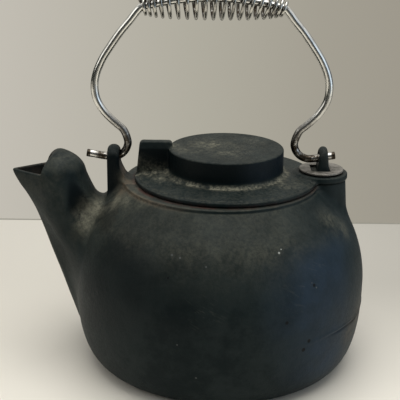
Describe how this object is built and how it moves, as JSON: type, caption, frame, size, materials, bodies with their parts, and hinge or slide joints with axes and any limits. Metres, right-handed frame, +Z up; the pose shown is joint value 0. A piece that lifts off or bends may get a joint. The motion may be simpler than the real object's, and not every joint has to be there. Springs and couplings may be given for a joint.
{
  "type": "cast iron tea kettle",
  "caption": "Round-bellied cast iron tea kettle with a hooded pouring spout, a swivelling lid with a raised disc and a lift tab, and a swinging wire bail with a coiled grip.",
  "frame": {"origin": "centre of the flat base, on the surface that the kettle stands on", "axes": "+Z up, -X towards the spout, +X towards the rear post that the lid turns on"},
  "size_m": [0.2228, 0.184, 0.2422],
  "materials": {
    "body_iron": "matte black seasoned casting, fine grained",
    "lid_iron": "matte black seasoned casting, dusty on top, rust at its edge",
    "washer_steel": "dull, darkened",
    "bail_plating": "bright plated, grimy at the hooks",
    "grip_plating": "bright plated"
  },
  "bodies": {
    "kettle": {"kettle_body": "body_iron", "spout": "body_iron", "retaining_washer": "washer_steel"},
    "lid": {"lid": "lid_iron"},
    "bail": {"bail": "bail_plating", "coil_grip": "grip_plating"}
  },
  "joints": [
    {"name": "lid_swivel", "type": "hinge", "parent": "kettle", "child": "lid", "pos_m": [0.0627, 0, 0.1168], "axis": [0, 0, -1], "range_deg": [0, 85]},
    {"name": "bail_swing", "type": "hinge", "parent": "kettle", "child": "bail", "pos_m": [0, 0, 0.1313], "axis": [1, 0, 0], "range_deg": [-65, 107]}
  ]
}
